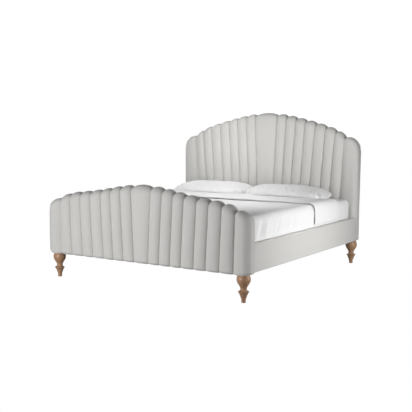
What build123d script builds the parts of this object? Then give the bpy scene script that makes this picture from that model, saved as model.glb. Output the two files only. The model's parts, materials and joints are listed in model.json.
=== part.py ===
from build123d import *
import os

os.makedirs("parts", exist_ok=True)

# A channel-upholstered bed on turned wooden feet, with its mattress and bedding.
# Frame: +Z up, floor at z = 0, +X across the bed, +Y towards the head. Millimetres.

# --- driving dimensions -------------------------------------------------------------
MATTRESS_WIDTH = 1930.0
MATTRESS_LENGTH = 2030.0
MATTRESS_DEPTH = 255.0
FRAME_UNDERSIDE = 226.0
RAIL_TOP = 459.0
RAIL_OUTER = 1020.0
RAIL_INNER = 980.0
SLAT_TOP = 385.0
SLAT_COUNT = 12
SLAT_WIDTH = 90.0
SLAT_THICKNESS = 18.0
FOOT_X = 969.0
FRONT_FOOT_Y = -1068.0
REAR_FOOT_Y = 1061.0
LEG_STATIONS = (-80.0, 520.0)
CLEARANCE = 0.1
SOFT_GAP = 0.3

# --- upholstered boards ---------------------------------------------------------------
# Each board is read from the bottom up: channels fan out from the lower seam places to
# the upper ones, and its top edge is an even curve through the arch stations.
CAP_PAD = 35.0
SEAM_GAP = 0.5
PANEL_THICKNESS = 12.0
CROSS_RAIL_HEIGHT = 100.0
ARCH_RAIL_HEIGHT = 90.0
BETWEEN_POSTS_REACH = 4000.0


class Board:
    """Sizes of one upholstered board, measured from its channelled front face."""

    def __init__(self, name, front, pad, frame_depth, back, half_width, post_width,
                 lower_seams, upper_seams, arch, crown, shoulder, corner):
        self.name = name
        self.front = front
        self.frame_front = front + pad
        self.frame_back = front + pad + frame_depth
        self.rear = front + pad + frame_depth + back
        self.half_width = half_width
        self.core_half = half_width - CAP_PAD
        self.post_inner = self.core_half - post_width
        self.lower_seams = lower_seams
        self.upper_seams = upper_seams
        self.arch = arch
        self.crown = crown
        self.shoulder = shoulder
        self.corner = corner

    def top(self, x):
        """Height of the valley curve at x: the even polynomial through the stations."""
        height = 0.0
        for place, level in self.arch:
            weight = 1.0
            for other, _ in self.arch:
                if other != place:
                    weight *= (x * x - other * other) / (place * place - other * other)
            height += weight * level
        return height


headboard = Board(
    "headboard", front=1022.0, pad=28.0, frame_depth=72.0, back=18.0,
    half_width=1033.0, post_width=68.0,
    lower_seams=(76, 170, 263, 364, 470, 592, 692, 815),
    upper_seams=(131, 239, 350, 454, 567, 680, 786, 882),
    arch=((0, 1476), (350, 1431), (680, 1345), (882, 1245)),
    crown=22.0, shoulder=1125.0, corner=((1016, 1192), (962, 1240)),
)
footboard = Board(
    "footboard", front=-1140.0, pad=32.0, frame_depth=65.0, back=23.0,
    half_width=1050.0, post_width=75.0,
    lower_seams=(75, 186, 296, 404, 528, 645, 773, 901),
    upper_seams=(104, 220, 331, 438, 559, 673, 795, 913),
    arch=((0, 861), (331, 824), (673, 774), (913, 714)),
    crown=18.0, shoulder=625.0, corner=((1040, 668), (995, 700)),
)

# --- fasteners ----------------------------------------------------------------------
BOLT_RADIUS = 4.0
BOLT_HEAD_RADIUS = 7.0
BOLT_HEAD_HEIGHT = 5.5
BRACKET_THICKNESS = 4.0
BRACKET_LEG = 60.0
BRACKET_BOTTOM = 250.0
BRACKET_TOP = 325.0
BRACKET_BOLT_LEVELS = (268.0, 307.0)
BOARD_BOLT_X = 955.0
RAIL_BOLT_INSET = 35.0
BOARD_BOLT_LENGTH = 50.0
RAIL_BOLT_LENGTH = 20.0
FOOT_BOLT_BOTTOM = 183.0
FOOT_BOLT_TOP = 263.0
FOOT_PLATE = 3.0
FOOT_PLATE_RADIUS = 44.0


def save(piece, name):
    """Label a finished piece and write it under its own name."""
    piece.part.label = name
    export_step(piece.part, f"parts/{name}.step")


def bar(name, x, y, z):
    """A plain bar between two corners, each given as a (low, high) pair."""
    with BuildPart() as piece:
        with BuildSketch(Plane.XY.offset(z[0])):
            with Locations(((x[0] + x[1]) / 2, (y[0] + y[1]) / 2)):
                Rectangle(x[1] - x[0], y[1] - y[0])
        extrude(amount=z[1] - z[0])
    save(piece, name)


def facing(y):
    """A plane at y whose sketch axes are the frame's X and Z. Its normal is -Y."""
    return Plane(origin=(0, y, 0), x_dir=(1, 0, 0), z_dir=(0, -1, 0))


def valley_edge(board, half, drop):
    """Spline points of the valley curve from -half to +half, lowered by drop."""
    steps = 8
    places = [half * (2 * i / steps - 1) for i in range(steps + 1)]
    return [(x, board.top(x) - drop) for x in places]


def core_outline(board, half, drop):
    """The arched outline of a board's inner structure, drawn in the open sketch."""
    edge = valley_edge(board, half, drop)
    with BuildLine() as outline:
        Spline(*edge)
        Polyline(edge[-1], (half, FRAME_UNDERSIDE), (-half, FRAME_UNDERSIDE), edge[0])
    make_face(outline.edges())


def board_bolt_holes(board):
    """Clearance holes for the bracket bolts that enter the board from the bed's side."""
    inner_face = board.rear if board is footboard else board.front
    depth = BOARD_BOLT_LENGTH - BRACKET_THICKNESS + CLEARANCE
    with BuildSketch(facing(inner_face)) as holes:
        with Locations(*[(side * BOARD_BOLT_X, level)
                         for side in (-1, 1) for level in BRACKET_BOLT_LEVELS]):
            Circle(BOLT_RADIUS + CLEARANCE)
    extrude(holes.sketch, amount=depth if board is footboard else -depth, mode=Mode.SUBTRACT)


def round_channel(piece, radius):
    """Round the two upright front edges of a channel, where the seams draw it in."""
    front = piece.part.bounding_box().min.Y
    edges = piece.part.edges().filter_by(GeomType.LINE).filter_by(
        lambda e: abs(e.center().Y - front) < 0.01
        and e.center().Z > FRAME_UNDERSIDE + 1
    )
    fillet(edges, radius)


def channel_outline(board, left, right):
    """One channel between two (lower x, upper x) seams, with a crowned top."""
    low_left, high_left = (x + SEAM_GAP / 2 for x in left)
    low_right, high_right = (x - SEAM_GAP / 2 for x in right)
    start = (high_left, board.top(high_left))
    end = (high_right, board.top(high_right))
    middle = (high_left + high_right) / 2
    peak = (middle, board.top(middle) + board.crown)
    with BuildLine() as outline:
        ThreePointArc(start, peak, end)
        Polyline(end, (low_right, FRAME_UNDERSIDE), (low_left, FRAME_UNDERSIDE), start)
    make_face(outline.edges())


def channel_set(board, name, pairs):
    """A run of channels: foam and cover together, wrapped over the board's top edge."""
    depth = board.frame_back - board.front
    with BuildPart() as piece:
        for left, right in pairs:
            with BuildPart(mode=Mode.PRIVATE) as one:
                with BuildSketch(facing(board.front)):
                    channel_outline(board, left, right)
                extrude(amount=-depth)
                with BuildSketch(facing(board.frame_front)):
                    core_outline(board, board.core_half, CAP_PAD)
                extrude(amount=-depth, mode=Mode.SUBTRACT)
                round_channel(one, board.crown)
            add(one.part)
    save(piece, name)


def end_channel(board, side, name):
    """The wide outer channel, which turns the corner and covers the board's edge."""
    seam = (side * board.upper_seams[-1], board.top(board.upper_seams[-1]))
    edge = side * board.half_width
    corner = [(side * x, z) for x, z in board.corner]
    depth = board.frame_back - board.front
    with BuildPart() as piece:
        with BuildSketch(facing(board.front)):
            with BuildLine():
                Spline((edge, board.shoulder), *corner, seam,
                       tangents=[(0, 1), (-side, -0.35)])
                Polyline(seam, (side * board.lower_seams[-1], FRAME_UNDERSIDE),
                         (edge, FRAME_UNDERSIDE), (edge, board.shoulder))
            make_face()
        extrude(amount=-depth)
        with BuildSketch(facing(board.frame_front)):
            core_outline(board, board.core_half, CAP_PAD)
        extrude(amount=-depth, mode=Mode.SUBTRACT)
        round_channel(piece, board.crown)
        if board is headboard:
            board_bolt_holes(board)
    save(piece, name)


def board_post(board, side, name):
    """A timber post inside one end of a board, drilled for the foot and the brackets."""
    x_low, x_high = sorted((side * board.post_inner, side * board.core_half))
    foot_y = FRONT_FOOT_Y if board is footboard else REAR_FOOT_Y
    height = board.top(board.core_half) - CAP_PAD - 5 - FRAME_UNDERSIDE
    with BuildPart() as piece:
        with BuildSketch(Plane.XY.offset(FRAME_UNDERSIDE)):
            with Locations(((x_low + x_high) / 2, (board.frame_front + board.frame_back) / 2)):
                Rectangle(x_high - x_low, board.frame_back - board.frame_front)
        extrude(amount=height)
        with BuildSketch(Plane.XY.offset(FRAME_UNDERSIDE)):
            with Locations((side * FOOT_X, foot_y)):
                Circle(BOLT_RADIUS + CLEARANCE)
        extrude(amount=FOOT_BOLT_TOP - FRAME_UNDERSIDE + 1, mode=Mode.SUBTRACT)
        board_bolt_holes(board)
    save(piece, name)


def board_panel(board, name):
    """The thin arched panel that carries the channels, between the posts."""
    with BuildPart() as piece:
        with BuildSketch(facing(board.frame_front)):
            core_outline(board, board.core_half, CAP_PAD)
            Rectangle(2 * board.post_inner, BETWEEN_POSTS_REACH, mode=Mode.INTERSECT)
        extrude(amount=-PANEL_THICKNESS)
    save(piece, name)


def arch_rail(board, name):
    """The arched top rail behind the panel, sawn to the curve of the top edge."""
    start = board.frame_front + PANEL_THICKNESS
    with BuildPart() as piece:
        with BuildSketch(facing(start)):
            core_outline(board, board.core_half, CAP_PAD)
            Rectangle(2 * board.post_inner, BETWEEN_POSTS_REACH, mode=Mode.INTERSECT)
        extrude(amount=start - board.frame_back)
        with BuildSketch(facing(start)):
            core_outline(board, board.core_half, CAP_PAD + ARCH_RAIL_HEIGHT)
        extrude(amount=start - board.frame_back, mode=Mode.SUBTRACT)
    save(piece, name)


def back_cover(board, name):
    """The padded cover that closes a board's rear face, rounded at its corners."""
    half = board.half_width - 4
    edge = valley_edge(board, board.upper_seams[-1], 3)
    corner = [(x - 4, z - 6) for x, z in reversed(board.corner)]
    shoulder = board.shoulder - 6
    with BuildPart() as piece:
        with BuildSketch(facing(board.frame_back)):
            with BuildLine():
                Spline(*edge)
                Spline(edge[-1], *corner, (half, shoulder))
                Polyline((half, shoulder), (half, FRAME_UNDERSIDE),
                         (-half, FRAME_UNDERSIDE), (-half, shoulder))
                Spline((-half, shoulder), *[(-x, z) for x, z in reversed(corner)], edge[0])
            make_face()
        extrude(amount=board.frame_back - board.rear)
        if board is footboard:
            board_bolt_holes(board)
    save(piece, name)


def build_board(board):
    """All the pieces of one board."""
    board_post(board, -1, f"{board.name}_left_post")
    board_post(board, 1, f"{board.name}_right_post")
    bar(f"{board.name}_bottom_rail",
        (-board.post_inner, board.post_inner),
        (board.frame_front + PANEL_THICKNESS, board.frame_back),
        (FRAME_UNDERSIDE, FRAME_UNDERSIDE + CROSS_RAIL_HEIGHT))
    arch_rail(board, f"{board.name}_arch_rail")
    board_panel(board, f"{board.name}_panel")
    back_cover(board, f"{board.name}_back_cover")
    seams = list(zip(board.lower_seams, board.upper_seams))
    first = seams[0]
    channel_set(board, f"{board.name}_centre_channel", [((-first[0], -first[1]), first)])
    right = list(zip(seams, seams[1:]))
    left = [((-b[0], -b[1]), (-a[0], -a[1])) for a, b in right]
    channel_set(board, f"{board.name}_left_channels", left)
    channel_set(board, f"{board.name}_right_channels", right)
    end_channel(board, -1, f"{board.name}_left_end_channel")
    end_channel(board, 1, f"{board.name}_right_end_channel")


build_board(headboard)
build_board(footboard)

# --- side rails ---------------------------------------------------------------------
RAIL_FOOT_END = footboard.rear
RAIL_HEAD_END = headboard.front
RAIL_BOARD_THICKNESS = 24.0
COVER_TOP = 9.0
COVER_BOTTOM = 6.0
LEDGE_WIDTH = 32.0
LEDGE_HEIGHT = 30.0
HOLDER_BASE = 6.0
SLAT_BOTTOM = SLAT_TOP - SLAT_THICKNESS
LEDGE_TOP = SLAT_BOTTOM - HOLDER_BASE
RAIL_SPAN = RAIL_HEAD_END - RAIL_FOOT_END
RAIL_MIDDLE = (RAIL_HEAD_END + RAIL_FOOT_END) / 2
RAIL_BOLT_PLACES = (RAIL_FOOT_END + RAIL_BOLT_INSET, RAIL_HEAD_END - RAIL_BOLT_INSET)


def rail_board(side, name):
    """The timber side rail, drilled from the inside for the bracket bolts."""
    x_middle = side * (RAIL_INNER + RAIL_BOARD_THICKNESS / 2)
    z_low = FRAME_UNDERSIDE + COVER_BOTTOM
    with BuildPart() as piece:
        with BuildSketch(Plane.XY.offset(z_low)):
            with Locations((x_middle, RAIL_MIDDLE)):
                Rectangle(RAIL_BOARD_THICKNESS, RAIL_SPAN)
        extrude(amount=RAIL_TOP - COVER_TOP - z_low)
        plane = Plane(origin=(side * RAIL_INNER, 0, 0), x_dir=(0, 1, 0), z_dir=(side, 0, 0))
        with BuildSketch(plane):
            with Locations(*[(y, side * level)
                             for y in RAIL_BOLT_PLACES for level in BRACKET_BOLT_LEVELS]):
                Circle(BOLT_RADIUS + CLEARANCE)
        extrude(amount=RAIL_BOLT_LENGTH - BRACKET_THICKNESS + CLEARANCE, mode=Mode.SUBTRACT)
    save(piece, name)


def rail_cover(side, name):
    """The padded cover that wraps the outer face, top and bottom of a side rail."""
    inner = side * RAIL_INNER
    outer = side * RAIL_OUTER
    board_outer = side * (RAIL_INNER + RAIL_BOARD_THICKNESS)
    board_low = FRAME_UNDERSIDE + COVER_BOTTOM
    board_high = RAIL_TOP - COVER_TOP
    with BuildPart() as piece:
        with BuildSketch(facing(RAIL_FOOT_END)):
            with BuildLine():
                Polyline((inner, RAIL_TOP), (outer, RAIL_TOP), (outer, FRAME_UNDERSIDE),
                         (inner, FRAME_UNDERSIDE), (inner, board_low),
                         (board_outer, board_low), (board_outer, board_high),
                         (inner, board_high), close=True)
            make_face()
        extrude(amount=-RAIL_SPAN)
        long_edges = piece.part.edges().filter_by(Axis.Y)
        outer_edges = long_edges.filter_by(lambda e: abs(abs(e.center().X) - RAIL_OUTER) < 0.01)
        fillet(outer_edges, 8)
    save(piece, name)


for side, word in ((-1, "left"), (1, "right")):
    rail_board(side, f"{word}_rail_board")
    rail_cover(side, f"{word}_rail_cover")
    ledge_x = sorted((side * (RAIL_INNER - LEDGE_WIDTH), side * RAIL_INNER))
    bar(f"{word}_slat_ledge", ledge_x,
        (RAIL_FOOT_END + BRACKET_LEG + 10, RAIL_HEAD_END - BRACKET_LEG - 10),
        (LEDGE_TOP - LEDGE_HEIGHT, LEDGE_TOP))

# Corner brackets: one steel angle in each corner, below the slats.
CORNERS = [(side, end) for side in (-1, 1) for end in (-1, 1)]


def corner_y(end):
    """The board face that a corner's bracket stands against."""
    return RAIL_FOOT_END if end < 0 else RAIL_HEAD_END


with BuildPart() as corner_brackets:
    for side, end in CORNERS:
        face = corner_y(end)
        with BuildSketch(Plane.XY.offset(BRACKET_BOTTOM)):
            with Locations((side * (RAIL_INNER - BRACKET_THICKNESS / 2),
                            face - end * BRACKET_LEG / 2)):
                Rectangle(BRACKET_THICKNESS, BRACKET_LEG)
            with Locations((side * (RAIL_INNER - BRACKET_LEG / 2),
                            face - end * BRACKET_THICKNESS / 2)):
                Rectangle(BRACKET_LEG, BRACKET_THICKNESS)
        extrude(amount=BRACKET_TOP - BRACKET_BOTTOM)
    for side, end in CORNERS:
        rail_plane = Plane(origin=(side * RAIL_INNER, 0, 0), x_dir=(0, 1, 0), z_dir=(side, 0, 0))
        with BuildSketch(rail_plane):
            with Locations(*[(corner_y(end) - end * RAIL_BOLT_INSET, side * level)
                             for level in BRACKET_BOLT_LEVELS]):
                Circle(BOLT_RADIUS + CLEARANCE)
        extrude(amount=-BRACKET_THICKNESS, mode=Mode.SUBTRACT)
        with BuildSketch(facing(corner_y(end))):
            with Locations(*[(side * BOARD_BOLT_X, level) for level in BRACKET_BOLT_LEVELS]):
                Circle(BOLT_RADIUS + CLEARANCE)
        extrude(amount=end * BRACKET_THICKNESS, mode=Mode.SUBTRACT)
save(corner_brackets, "corner_brackets")

with BuildPart() as bracket_bolts:
    for side, end in CORNERS:
        for level in BRACKET_BOLT_LEVELS:
            seat_x = side * (RAIL_INNER - BRACKET_THICKNESS)
            along_rail = Plane(origin=(seat_x, corner_y(end) - end * RAIL_BOLT_INSET, level),
                               x_dir=(0, 1, 0), z_dir=(side, 0, 0))
            seat_y = corner_y(end) - end * BRACKET_THICKNESS
            into_board = Plane(origin=(side * BOARD_BOLT_X, seat_y, level),
                               x_dir=(1, 0, 0), z_dir=(0, end, 0))
            for plane, length in ((along_rail, RAIL_BOLT_LENGTH),
                                  (into_board, BOARD_BOLT_LENGTH)):
                with BuildSketch(plane):
                    Circle(BOLT_RADIUS)
                extrude(amount=length)
                with BuildSketch(plane):
                    RegularPolygon(BOLT_HEAD_RADIUS, 6)
                extrude(amount=-BOLT_HEAD_HEIGHT)
save(bracket_bolts, "bracket_bolts")

# --- slats and their support ------------------------------------------------------------
BEAM_HALF = 30.0
BEAM_HEIGHT = 60.0
BEAM_END_GAP = 4.0
BEAM_BOTTOM = SLAT_BOTTOM - BEAM_HEIGHT
SADDLE_WALL = 3.0
SADDLE_DEPTH = 40.0
SADDLE_TOP = 345.0
HOLDER_LENGTH = 40.0
HOLDER_OUTER = RAIL_INNER - 2
SLAT_END_GAP = 6.0
SLAT_HALF_LENGTH = HOLDER_OUTER - SLAT_END_GAP
FIRST_SLAT = RAIL_FOOT_END + 130.0
LAST_SLAT = RAIL_HEAD_END - 130.0
SLAT_PITCH = (LAST_SLAT - FIRST_SLAT) / (SLAT_COUNT - 1)
SLAT_PLACES = [FIRST_SLAT + SLAT_PITCH * i for i in range(SLAT_COUNT)]

bar("centre_beam", (-BEAM_HALF, BEAM_HALF),
    (RAIL_FOOT_END + BEAM_END_GAP, RAIL_HEAD_END - BEAM_END_GAP),
    (BEAM_BOTTOM, SLAT_BOTTOM))

with BuildPart() as beam_brackets:
    for end in (-1, 1):
        with BuildSketch(Plane.XY.offset(BEAM_BOTTOM - SADDLE_WALL)):
            with Locations((0, corner_y(end) - end * SADDLE_DEPTH / 2)):
                Rectangle(2 * (BEAM_HALF + SADDLE_WALL + CLEARANCE), SADDLE_DEPTH)
        extrude(amount=SADDLE_TOP - BEAM_BOTTOM + SADDLE_WALL)
    for end in (-1, 1):
        with BuildSketch(Plane.XY.offset(BEAM_BOTTOM)):
            with Locations((0, corner_y(end) - end * (SADDLE_DEPTH / 2 + SADDLE_WALL))):
                Rectangle(2 * (BEAM_HALF + CLEARANCE), SADDLE_DEPTH)
        extrude(amount=BEAM_HEIGHT, mode=Mode.SUBTRACT)
save(beam_brackets, "beam_brackets")

for number, place in enumerate(SLAT_PLACES, start=1):
    bar(f"slat_{number:02d}", (-SLAT_HALF_LENGTH, SLAT_HALF_LENGTH),
        (place - SLAT_WIDTH / 2, place + SLAT_WIDTH / 2), (SLAT_BOTTOM, SLAT_TOP))

with BuildPart() as slat_holders:
    for side in (-1, 1):
        spots = [(side * (HOLDER_OUTER - HOLDER_LENGTH / 2), place) for place in SLAT_PLACES]
        with BuildSketch(Plane.XY.offset(LEDGE_TOP)):
            with Locations(*spots):
                Rectangle(HOLDER_LENGTH, SLAT_WIDTH + 10)
        extrude(amount=SLAT_TOP - 1 - LEDGE_TOP)
        pockets = [(side * (HOLDER_OUTER - HOLDER_LENGTH / 2 - SLAT_END_GAP + 1), place)
                   for place in SLAT_PLACES]
        with BuildSketch(Plane.XY.offset(SLAT_BOTTOM)):
            with Locations(*pockets):
                Rectangle(HOLDER_LENGTH, SLAT_WIDTH + 2 * CLEARANCE)
        extrude(amount=SLAT_THICKNESS, mode=Mode.SUBTRACT)
save(slat_holders, "slat_holders")

# Centre legs stand under the beam. Each has a glide that screws up into its bore.
LEG_RADIUS = 19.0
LEG_BOTTOM = 24.0
LEG_PLATE = 4.0
LEG_PLATE_SIDE = 58.0
GLIDE_RADIUS = 22.0
GLIDE_PAD = 10.0
STEM_RADIUS = 5.0
STEM_TOP = 75.0
STEM_RUNNING_GAP = 0.05
BORE_TOP = 92.0

with BuildPart() as centre_legs:
    leg_spots = [(0, y) for y in LEG_STATIONS]
    with BuildSketch(Plane.XY.offset(LEG_BOTTOM)):
        with Locations(*leg_spots):
            Circle(LEG_RADIUS)
    extrude(amount=BEAM_BOTTOM - LEG_PLATE - LEG_BOTTOM)
    with BuildSketch(Plane.XY.offset(BEAM_BOTTOM - LEG_PLATE)):
        with Locations(*leg_spots):
            RectangleRounded(LEG_PLATE_SIDE, LEG_PLATE_SIDE, 6)
    extrude(amount=LEG_PLATE)
    with BuildSketch(Plane.XY.offset(LEG_BOTTOM)):
        with Locations(*leg_spots):
            Circle(STEM_RADIUS + STEM_RUNNING_GAP)
    extrude(amount=BORE_TOP - LEG_BOTTOM, mode=Mode.SUBTRACT)
save(centre_legs, "centre_legs")

for word, y in zip(("foot", "head"), LEG_STATIONS):
    with BuildPart() as glide:
        with BuildSketch(Plane.XY):
            with Locations((0, y)):
                Circle(GLIDE_RADIUS)
        extrude(amount=GLIDE_PAD)
        fillet(glide.part.edges().group_by(Axis.Z)[-1], 2)
        with BuildSketch(Plane.XY.offset(GLIDE_PAD)):
            with Locations((0, y)):
                Circle(STEM_RADIUS)
        extrude(amount=STEM_TOP - GLIDE_PAD)
    save(glide, f"glide_{word}")

# --- turned feet --------------------------------------------------------------------------
FOOT_TOP = FRAME_UNDERSIDE - FOOT_PLATE
TIP_RADIUS = 17.0
CONE_FOOT = (18.6, 28.0)
CONE_TOP = (38.5, 79.0)
FILLET_RING = (42.0, 82.5)
COLLAR = (44.5, 87.0)
COLLAR_SHOULDER = (30.0, 97.0)
NECK = (25.6, 111.0)
BULB_FLARE = (48.8, 159.0)
BULB = (54.3, 188.0)
BULB_TOP_RADIUS = 45.5
FOOT_PLACES = {
    "front_left": (-FOOT_X, FRONT_FOOT_Y), "front_right": (FOOT_X, FRONT_FOOT_Y),
    "rear_left": (-FOOT_X, REAR_FOOT_Y), "rear_right": (FOOT_X, REAR_FOOT_Y),
}


def turned_foot(x, y, name):
    """A foot turned between centres: tip, cone, collar, neck and bulb."""
    with BuildPart() as piece:
        with BuildSketch(Plane(origin=(x, y, 0), x_dir=(1, 0, 0), z_dir=(0, -1, 0))):
            with BuildLine():
                Polyline((0, FOOT_TOP), (0, 0), (TIP_RADIUS - 2, 0), (TIP_RADIUS, 2), CONE_FOOT)
                Spline(CONE_FOOT, CONE_TOP, tangents=[(0.30, 1), (0.48, 1)])
                Polyline(CONE_TOP, FILLET_RING, COLLAR, COLLAR_SHOULDER)
                Spline(COLLAR_SHOULDER, NECK, BULB_FLARE, BULB, (BULB_TOP_RADIUS, FOOT_TOP),
                       tangents=[(-0.6, 1), (-0.45, 1)])
                Line((BULB_TOP_RADIUS, FOOT_TOP), (0, FOOT_TOP))
            make_face()
        revolve(axis=Axis((x, y, 0), (0, 0, 1)))
        with BuildSketch(Plane.XY.offset(FOOT_BOLT_BOTTOM)):
            with Locations((x, y)):
                Circle(BOLT_RADIUS + CLEARANCE)
        extrude(amount=FOOT_TOP - FOOT_BOLT_BOTTOM, mode=Mode.SUBTRACT)
    save(piece, name)


for word, (x, y) in FOOT_PLACES.items():
    turned_foot(x, y, f"{word}_foot")

with BuildPart() as foot_plates:
    with BuildSketch(Plane.XY.offset(FOOT_TOP)):
        with Locations(*FOOT_PLACES.values()):
            Circle(FOOT_PLATE_RADIUS)
            Circle(BOLT_RADIUS + CLEARANCE, mode=Mode.SUBTRACT)
    extrude(amount=FOOT_PLATE)
save(foot_plates, "foot_plates")

with BuildPart() as foot_bolts:
    with BuildSketch(Plane.XY.offset(FOOT_BOLT_BOTTOM)):
        with Locations(*FOOT_PLACES.values()):
            Circle(BOLT_RADIUS)
    extrude(amount=FOOT_BOLT_TOP - FOOT_BOLT_BOTTOM)
save(foot_bolts, "foot_bolts")

# --- mattress and bedding -----------------------------------------------------------------
MATTRESS_BOTTOM = SLAT_TOP + SOFT_GAP
MATTRESS_TOP = MATTRESS_BOTTOM + MATTRESS_DEPTH
MATTRESS_CORNER = 60.0
MATTRESS_EDGE = 28.0
SHEET = 1.0
SHEET_HEM = 395.0
DUVET_FOOT_END = -MATTRESS_LENGTH / 2
DUVET_HEAD_END = 690.0
DUVET_THICKNESS = 22.0
DUVET_HEM = 402.0
CUFF_FOOT_END = 170.0
CUFF_THICKNESS = 12.0
SKIRT_INNER = MATTRESS_WIDTH / 2 + SHEET + SOFT_GAP
SKIRT_OUTER = RAIL_INNER - 1.5
PILLOW_FRONT = 575.0
PILLOW_BACK = 1012.0
PILLOW_DEPTH = 122.0
PILLOW_EDGE = 55.0


with BuildPart() as mattress:
    with BuildSketch(Plane.XY.offset(MATTRESS_BOTTOM)):
        RectangleRounded(MATTRESS_WIDTH, MATTRESS_LENGTH, MATTRESS_CORNER)
    extrude(amount=MATTRESS_DEPTH)
    fillet(mattress.part.edges().group_by(Axis.Z)[-1], MATTRESS_EDGE)
    fillet(mattress.part.edges().group_by(Axis.Z)[0], MATTRESS_EDGE)
save(mattress, "mattress")

with BuildPart() as fitted_sheet:
    with BuildSketch(Plane.XY.offset(SHEET_HEM)):
        RectangleRounded(MATTRESS_WIDTH + 2 * SHEET, MATTRESS_LENGTH + 2 * SHEET,
                         MATTRESS_CORNER + SHEET)
    extrude(amount=MATTRESS_TOP + SHEET - SHEET_HEM)
    fillet(fitted_sheet.part.edges().group_by(Axis.Z)[-1], MATTRESS_EDGE + SHEET)
    add(mattress.part, mode=Mode.SUBTRACT)
save(fitted_sheet, "fitted_sheet")

with BuildPart() as duvet:
    under = MATTRESS_TOP + SHEET + SOFT_GAP
    over = under + DUVET_THICKNESS
    with BuildSketch(facing(DUVET_FOOT_END)):
        with BuildLine():
            Polyline((-SKIRT_OUTER, DUVET_HEM), (-SKIRT_OUTER, over), (SKIRT_OUTER, over),
                     (SKIRT_OUTER, DUVET_HEM), (SKIRT_INNER, DUVET_HEM), (SKIRT_INNER, under),
                     (-SKIRT_INNER, under), (-SKIRT_INNER, DUVET_HEM), close=True)
        make_face()
    extrude(amount=DUVET_FOOT_END - DUVET_HEAD_END)
    top_edges = duvet.part.edges().filter_by(Axis.Y).group_by(Axis.Z)[-1]
    fillet(top_edges, 30)
    with BuildSketch(Plane.XY.offset(over)):
        with Locations((0, (CUFF_FOOT_END + DUVET_HEAD_END) / 2)):
            Rectangle(2 * SKIRT_OUTER - 80, DUVET_HEAD_END - CUFF_FOOT_END)
    extrude(amount=CUFF_THICKNESS)
    cuff_top = duvet.part.faces().sort_by(Axis.Z)[-1]
    fillet(cuff_top.edges(), 5)
save(duvet, "duvet")

PILLOW_BOTTOM = MATTRESS_TOP + SHEET + DUVET_THICKNESS + CUFF_THICKNESS + 2 * SOFT_GAP
PILLOW_SPANS = {"pillow_left": (-930.0, -3.0), "pillow_right": (3.0, 930.0)}

for name, (x_low, x_high) in PILLOW_SPANS.items():
    with BuildPart() as pillow:
        with BuildSketch(Plane.XY.offset(PILLOW_BOTTOM)):
            with Locations(((x_low + x_high) / 2, (PILLOW_FRONT + PILLOW_BACK) / 2)):
                RectangleRounded(x_high - x_low, PILLOW_BACK - PILLOW_FRONT, PILLOW_EDGE + 10)
        extrude(amount=PILLOW_DEPTH)
        fillet(pillow.part.edges().group_by(Axis.Z)[-1], PILLOW_EDGE)
        fillet(pillow.part.edges().group_by(Axis.Z)[0], PILLOW_EDGE)
    save(pillow, name)
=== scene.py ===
"""The visual model of a channel-upholstered bed: its cover, feet and bedding."""
import json
import logging
import math
from collections.abc import Callable, Iterable, Sequence
from dataclasses import dataclass
from enum import Enum

import bmesh
import bpy
import numpy as np
from mathutils import Euler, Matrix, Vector, noise


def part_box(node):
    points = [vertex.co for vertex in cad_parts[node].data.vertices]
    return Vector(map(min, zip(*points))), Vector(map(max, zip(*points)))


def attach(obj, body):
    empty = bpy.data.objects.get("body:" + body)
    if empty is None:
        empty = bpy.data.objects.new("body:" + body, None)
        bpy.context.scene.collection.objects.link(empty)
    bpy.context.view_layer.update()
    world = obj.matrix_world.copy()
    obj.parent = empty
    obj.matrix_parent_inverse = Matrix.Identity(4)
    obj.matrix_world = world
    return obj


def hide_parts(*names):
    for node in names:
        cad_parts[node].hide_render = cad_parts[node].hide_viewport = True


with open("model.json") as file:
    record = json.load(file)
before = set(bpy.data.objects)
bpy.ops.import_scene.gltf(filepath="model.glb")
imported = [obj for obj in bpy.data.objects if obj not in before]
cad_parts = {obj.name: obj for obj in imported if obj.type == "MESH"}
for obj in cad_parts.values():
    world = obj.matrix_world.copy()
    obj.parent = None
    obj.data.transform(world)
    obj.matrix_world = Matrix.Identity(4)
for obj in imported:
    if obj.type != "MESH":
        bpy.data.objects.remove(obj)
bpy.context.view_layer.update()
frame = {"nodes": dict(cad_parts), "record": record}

LOG = logging.getLogger("bed")

Grid = np.ndarray                    # rows by columns by three places
Line = np.ndarray                    # count by two or three places
Point2 = tuple[float, float]
Point3 = tuple[float, float, float]
Colour = tuple[float, float, float]
Height = Callable[[Vector, Vector], float]

WELD = 2e-5                          # points nearer than this, in metres, are one point
COVER_CLOTH = 0.002                  # how thick the upholstery's cloth is
SHEET_CLOTH = 0.0012                 # how thick the fitted sheet is
LAP = 0.0006                         # how far a cover reaches below its timber
BACK_ROUND = 0.012                   # the round where a cover turns behind its board


# --- shader writing -------------------------------------------------------------------

class Value:
    """A number that varies over a surface; arithmetic on it adds Math nodes."""

    def __init__(self, tree: "Tree", socket: bpy.types.NodeSocket) -> None:
        """Wrap an output socket of the tree."""
        self.tree = tree
        self.socket = socket

    def _math(self, operation: str, first: "Value | float", second: "Value | float") -> "Value":
        """Return the result of a new Math node on two inputs."""
        made = self.tree.node("ShaderNodeMath", {"operation": operation}, {0: first, 1: second})
        return Value(self.tree, made.outputs[0])

    def __add__(self, other: "Value | float") -> "Value":
        """Return the sum."""
        return self._math("ADD", self, other)

    __radd__ = __add__

    def __mul__(self, other: "Value | float") -> "Value":
        """Return the product."""
        return self._math("MULTIPLY", self, other)

    __rmul__ = __mul__

    def __sub__(self, other: "Value | float") -> "Value":
        """Return the difference."""
        return self._math("SUBTRACT", self, other)

    def __rsub__(self, other: "Value | float") -> "Value":
        """Return the reflected difference."""
        return self._math("SUBTRACT", other, self)

    def sine(self) -> "Value":
        """Return the sine, in radians."""
        return self._math("SINE", self, 0.0)

    def held(self) -> "Value":
        """Return the value held between 0 and 1."""
        return self._math("MINIMUM", self._math("MAXIMUM", self, 0.0), 1.0)


Input = Value | bpy.types.NodeSocket | float | tuple


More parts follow.
